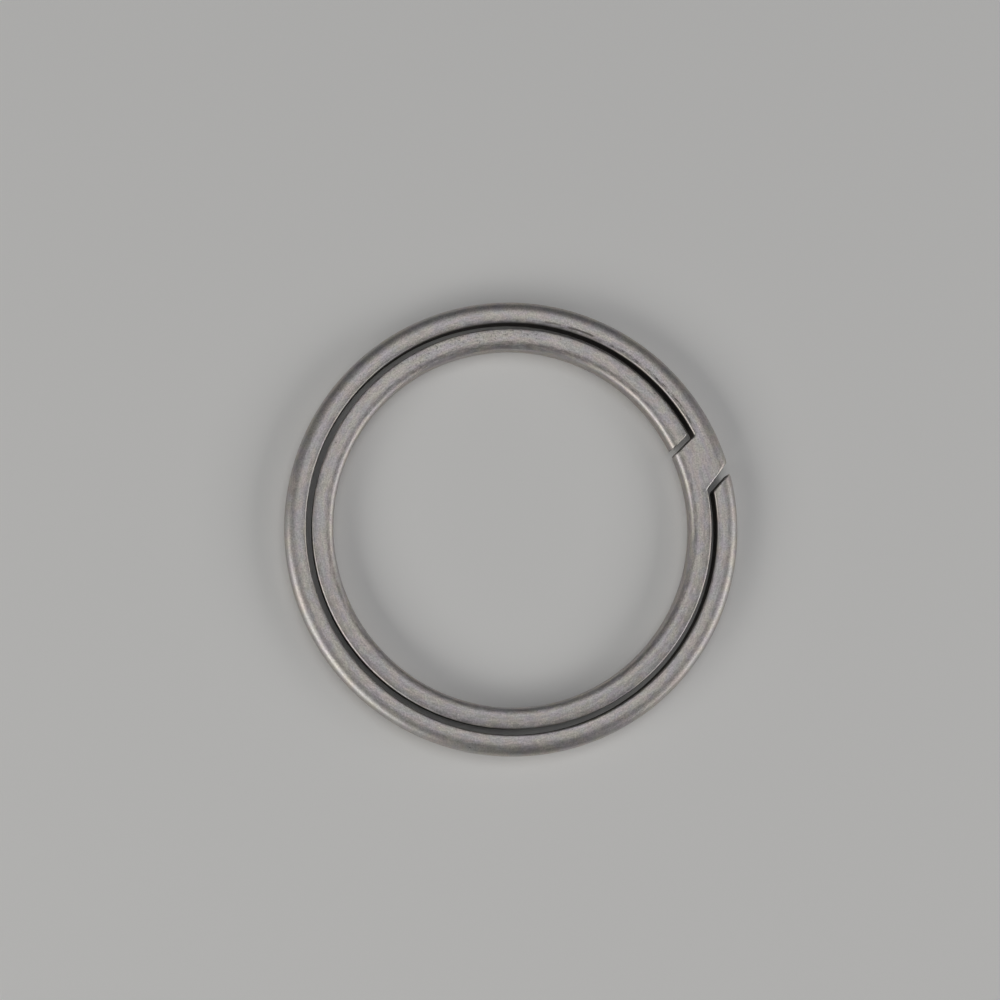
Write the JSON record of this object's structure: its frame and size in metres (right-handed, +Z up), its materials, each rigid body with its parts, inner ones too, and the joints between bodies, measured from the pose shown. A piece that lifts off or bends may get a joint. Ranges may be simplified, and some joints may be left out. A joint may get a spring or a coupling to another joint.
{
  "type": "split key ring",
  "caption": "Flat split key ring cut from one titanium plate: two springy coils in one plane, joined by a bridge, with a slit between them that a key is fed along.",
  "frame": {"origin": "centre of the eye, on the underside, with the ring lying flat", "axes": "+Z up through the eye, square to the plate; the bridge lies between 11 and 28 degrees anticlockwise from +X"},
  "size_m": [0.032, 0.032, 0.002],
  "materials": {
    "titanium": "stonewashed matte grey"
  },
  "bodies": {
    "bridge": {"bridge": "titanium"},
    "outer_coil_01": {"outer_coil_01": "titanium"},
    "outer_coil_02": {"outer_coil_02": "titanium"},
    "outer_coil_03": {"outer_coil_03": "titanium"},
    "outer_coil_04": {"outer_coil_04": "titanium"},
    "outer_coil_05": {"outer_coil_05": "titanium"},
    "outer_coil_06": {"outer_coil_06": "titanium"},
    "outer_coil_07": {"outer_coil_07": "titanium"},
    "outer_coil_08": {"outer_coil_08": "titanium"},
    "outer_coil_09": {"outer_coil_09": "titanium"},
    "outer_coil_10": {"outer_coil_10": "titanium"},
    "outer_coil_11": {"outer_coil_11": "titanium"},
    "outer_coil_12": {"outer_coil_12": "titanium"},
    "outer_coil_13": {"outer_coil_13": "titanium"},
    "outer_coil_14": {"outer_coil_14": "titanium"},
    "outer_tip": {"outer_tip": "titanium"},
    "inner_coil_01": {"inner_coil_01": "titanium"},
    "inner_coil_02": {"inner_coil_02": "titanium"},
    "inner_coil_03": {"inner_coil_03": "titanium"},
    "inner_coil_04": {"inner_coil_04": "titanium"},
    "inner_coil_05": {"inner_coil_05": "titanium"},
    "inner_coil_06": {"inner_coil_06": "titanium"},
    "inner_coil_07": {"inner_coil_07": "titanium"},
    "inner_coil_08": {"inner_coil_08": "titanium"},
    "inner_coil_09": {"inner_coil_09": "titanium"},
    "inner_coil_10": {"inner_coil_10": "titanium"},
    "inner_coil_11": {"inner_coil_11": "titanium"},
    "inner_coil_12": {"inner_coil_12": "titanium"},
    "inner_coil_13": {"inner_coil_13": "titanium"},
    "inner_coil_14": {"inner_coil_14": "titanium"},
    "inner_tip": {"inner_tip": "titanium"}
  },
  "joints": [
    {"name": "outer_flex_01", "type": "hinge", "parent": "bridge", "child": "outer_coil_01", "pos_m": [0.01192, 0.00951, 0.001], "axis": [-0.6235, 0.7818, 0], "range_deg": [-0.09054, 0.09054], "stiffness_Nm_per_rad": 7.53},
    {"name": "outer_flex_02", "type": "hinge", "parent": "outer_coil_01", "child": "outer_coil_02", "pos_m": [0.00746, 0.0133, 0.001], "axis": [-0.8723, 0.489, 0], "range_deg": [-0.27991, 0.27991], "stiffness_Nm_per_rad": 7.53},
    {"name": "outer_flex_03", "type": "hinge", "parent": "outer_coil_02", "child": "outer_coil_03", "pos_m": [0.00189, 0.01513, 0.001], "axis": [-0.9923, 0.1241, 0], "range_deg": [-0.54, 0.54], "stiffness_Nm_per_rad": 7.53},
    {"name": "outer_flex_04", "type": "hinge", "parent": "outer_coil_03", "child": "outer_coil_04", "pos_m": [-0.00395, 0.01473, 0.001], "axis": [-0.9658, -0.2591, 0], "range_deg": [-0.84, 0.84], "stiffness_Nm_per_rad": 7.53},
    {"name": "outer_flex_05", "type": "hinge", "parent": "outer_coil_04", "child": "outer_coil_05", "pos_m": [-0.00921, 0.01215, 0.001], "axis": [-0.7969, -0.6042, 0], "range_deg": [-1.13, 1.13], "stiffness_Nm_per_rad": 7.53},
    {"name": "outer_flex_06", "type": "hinge", "parent": "outer_coil_05", "child": "outer_coil_06", "pos_m": [-0.01311, 0.00778, 0.001], "axis": [-0.5103, -0.86, 0], "range_deg": [-1.37, 1.37], "stiffness_Nm_per_rad": 7.53},
    {"name": "outer_flex_07", "type": "hinge", "parent": "outer_coil_06", "child": "outer_coil_07", "pos_m": [-0.01508, 0.00226, 0.001], "axis": [-0.1484, -0.9889, 0], "range_deg": [-1.53, 1.53], "stiffness_Nm_per_rad": 7.53},
    {"name": "outer_coil_push", "type": "hinge", "parent": "outer_coil_07", "child": "outer_coil_08", "pos_m": [-0.01482, -0.00359, 0.001], "axis": [0.2354, -0.9719, 0], "range_deg": [-1.54, 1.54], "stiffness_Nm_per_rad": 7.53},
    {"name": "outer_flex_09", "type": "hinge", "parent": "outer_coil_08", "child": "outer_coil_09", "pos_m": [-0.01237, -0.00891, 0.001], "axis": [0.5844, -0.8115, 0], "range_deg": [-1.5, 1.5], "stiffness_Nm_per_rad": 7.53},
    {"name": "outer_flex_10", "type": "hinge", "parent": "outer_coil_09", "child": "outer_coil_10", "pos_m": [-0.0081, -0.01292, 0.001], "axis": [0.8472, -0.5313, 0], "range_deg": [-1.32, 1.32], "stiffness_Nm_per_rad": 7.53},
    {"name": "outer_flex_11", "type": "hinge", "parent": "outer_coil_10", "child": "outer_coil_11", "pos_m": [-0.00263, -0.01502, 0.001], "axis": [0.985, -0.1727, 0], "range_deg": [-1.06, 1.06], "stiffness_Nm_per_rad": 7.53},
    {"name": "outer_flex_12", "type": "hinge", "parent": "outer_coil_11", "child": "outer_coil_12", "pos_m": [0.00322, -0.01491, 0.001], "axis": [0.9774, 0.2114, 0], "range_deg": [-0.77, 0.77], "stiffness_Nm_per_rad": 7.53},
    {"name": "outer_flex_13", "type": "hinge", "parent": "outer_coil_12", "child": "outer_coil_13", "pos_m": [0.00861, -0.01259, 0.001], "axis": [0.8256, 0.5643, 0], "range_deg": [-0.47182, 0.47182], "stiffness_Nm_per_rad": 7.53},
    {"name": "outer_flex_14", "type": "hinge", "parent": "outer_coil_13", "child": "outer_coil_14", "pos_m": [0.01272, -0.00842, 0.001], "axis": [0.5519, 0.8339, 0], "range_deg": [-0.2234, 0.2234], "stiffness_Nm_per_rad": 7.53},
    {"name": "outer_flex_15", "type": "hinge", "parent": "outer_coil_14", "child": "outer_tip", "pos_m": [0.01495, -0.003, 0.001], "axis": [0.1968, 0.9804, 0], "range_deg": [-0.05799, 0.05799], "stiffness_Nm_per_rad": 7.53},
    {"name": "inner_flex_01", "type": "hinge", "parent": "bridge", "child": "inner_coil_01", "pos_m": [0.01335, -0.00006, 0.001], "axis": [0.0048, 1, 0], "range_deg": [-0.10347, 0.10347], "stiffness_Nm_per_rad": 8.6},
    {"name": "inner_flex_02", "type": "hinge", "parent": "inner_coil_01", "child": "inner_coil_02", "pos_m": [0.01234, -0.00509, 0.001], "axis": [0.3814, 0.9244, 0], "range_deg": [-0.3199, 0.3199], "stiffness_Nm_per_rad": 8.6},
    {"name": "inner_flex_03", "type": "hinge", "parent": "inner_coil_02", "child": "inner_coil_03", "pos_m": [0.00951, -0.00937, 0.001], "axis": [0.7018, 0.7124, 0], "range_deg": [-0.62, 0.62], "stiffness_Nm_per_rad": 8.6},
    {"name": "inner_flex_04", "type": "hinge", "parent": "inner_coil_03", "child": "inner_coil_04", "pos_m": [0.00528, -0.01226, 0.001], "axis": [0.9186, 0.3952, 0], "range_deg": [-0.96, 0.96], "stiffness_Nm_per_rad": 8.6},
    {"name": "inner_flex_05", "type": "hinge", "parent": "inner_coil_04", "child": "inner_coil_05", "pos_m": [0.00026, -0.01335, 0.001], "axis": [0.9998, 0.0198, 0], "range_deg": [-1.3, 1.3], "stiffness_Nm_per_rad": 8.6},
    {"name": "inner_flex_06", "type": "hinge", "parent": "inner_coil_05", "child": "inner_coil_06", "pos_m": [-0.00479, -0.01246, 0.001], "axis": [0.9335, -0.3586, 0], "range_deg": [-1.57, 1.57], "stiffness_Nm_per_rad": 8.6},
    {"name": "inner_flex_07", "type": "hinge", "parent": "inner_coil_06", "child": "inner_coil_07", "pos_m": [-0.00913, -0.00974, 0.001], "axis": [0.7294, -0.6841, 0], "range_deg": [-1.75, 1.75], "stiffness_Nm_per_rad": 8.6},
    {"name": "inner_coil_push", "type": "hinge", "parent": "inner_coil_07", "child": "inner_coil_08", "pos_m": [-0.01213, -0.00558, 0.001], "axis": [0.4177, -0.9086, 0], "range_deg": [-1.76, 1.76], "stiffness_Nm_per_rad": 8.6},
    {"name": "inner_flex_09", "type": "hinge", "parent": "inner_coil_08", "child": "inner_coil_09", "pos_m": [-0.01334, -0.00059, 0.001], "axis": [0.0443, -0.999, 0], "range_deg": [-1.71, 1.71], "stiffness_Nm_per_rad": 8.6},
    {"name": "inner_flex_10", "type": "hinge", "parent": "inner_coil_09", "child": "inner_coil_10", "pos_m": [-0.01258, 0.00448, 0.001], "axis": [-0.3356, -0.942, 0], "range_deg": [-1.51, 1.51], "stiffness_Nm_per_rad": 8.6},
    {"name": "inner_flex_11", "type": "hinge", "parent": "inner_coil_10", "child": "inner_coil_11", "pos_m": [-0.00996, 0.00889, 0.001], "axis": [-0.666, -0.746, 0], "range_deg": [-1.22, 1.22], "stiffness_Nm_per_rad": 8.6},
    {"name": "inner_flex_12", "type": "hinge", "parent": "inner_coil_11", "child": "inner_coil_12", "pos_m": [-0.00587, 0.01199, 0.001], "axis": [-0.8981, -0.4398, 0], "range_deg": [-0.88, 0.88], "stiffness_Nm_per_rad": 8.6},
    {"name": "inner_flex_13", "type": "hinge", "parent": "inner_coil_12", "child": "inner_coil_13", "pos_m": [-0.00092, 0.01332, 0.001], "axis": [-0.9976, -0.0688, 0], "range_deg": [-0.54, 0.54], "stiffness_Nm_per_rad": 8.6},
    {"name": "inner_flex_14", "type": "hinge", "parent": "inner_coil_13", "child": "inner_coil_14", "pos_m": [0.00417, 0.01268, 0.001], "axis": [-0.95, 0.3124, 0], "range_deg": [-0.25531, 0.25531], "stiffness_Nm_per_rad": 8.6},
    {"name": "inner_flex_15", "type": "hinge", "parent": "inner_coil_14", "child": "inner_tip", "pos_m": [0.00864, 0.01017, 0.001], "axis": [-0.7621, 0.6475, 0], "range_deg": [-0.06627, 0.06627], "stiffness_Nm_per_rad": 8.6}
  ],
  "couplings": [
    {"joint": "outer_flex_01", "follows": "outer_coil_push", "ratio": 0.057639},
    {"joint": "outer_flex_02", "follows": "outer_coil_push", "ratio": 0.1782},
    {"joint": "outer_flex_03", "follows": "outer_coil_push", "ratio": 0.34629},
    {"joint": "outer_flex_04", "follows": "outer_coil_push", "ratio": 0.53711},
    {"joint": "outer_flex_05", "follows": "outer_coil_push", "ratio": 0.7225},
    {"joint": "outer_flex_06", "follows": "outer_coil_push", "ratio": 0.8751},
    {"joint": "outer_flex_07", "follows": "outer_coil_push", "ratio": 0.97238},
    {"joint": "outer_flex_09", "follows": "outer_coil_push", "ratio": 0.95387},
    {"joint": "outer_flex_10", "follows": "outer_coil_push", "ratio": 0.84081},
    {"joint": "outer_flex_11", "follows": "outer_coil_push", "ratio": 0.67749},
    {"joint": "outer_flex_12", "follows": "outer_coil_push", "ratio": 0.48802},
    {"joint": "outer_flex_13", "follows": "outer_coil_push", "ratio": 0.30037},
    {"joint": "outer_flex_14", "follows": "outer_coil_push", "ratio": 0.14222},
    {"joint": "outer_flex_15", "follows": "outer_coil_push", "ratio": 0.036917},
    {"joint": "inner_flex_01", "follows": "inner_coil_push", "ratio": 0.057639},
    {"joint": "inner_flex_02", "follows": "inner_coil_push", "ratio": 0.1782},
    {"joint": "inner_flex_03", "follows": "inner_coil_push", "ratio": 0.34629},
    {"joint": "inner_flex_04", "follows": "inner_coil_push", "ratio": 0.53711},
    {"joint": "inner_flex_05", "follows": "inner_coil_push", "ratio": 0.7225},
    {"joint": "inner_flex_06", "follows": "inner_coil_push", "ratio": 0.8751},
    {"joint": "inner_flex_07", "follows": "inner_coil_push", "ratio": 0.97238},
    {"joint": "inner_flex_09", "follows": "inner_coil_push", "ratio": 0.95387},
    {"joint": "inner_flex_10", "follows": "inner_coil_push", "ratio": 0.84081},
    {"joint": "inner_flex_11", "follows": "inner_coil_push", "ratio": 0.67749},
    {"joint": "inner_flex_12", "follows": "inner_coil_push", "ratio": 0.48802},
    {"joint": "inner_flex_13", "follows": "inner_coil_push", "ratio": 0.30037},
    {"joint": "inner_flex_14", "follows": "inner_coil_push", "ratio": 0.14222},
    {"joint": "inner_flex_15", "follows": "inner_coil_push", "ratio": 0.036917}
  ]
}
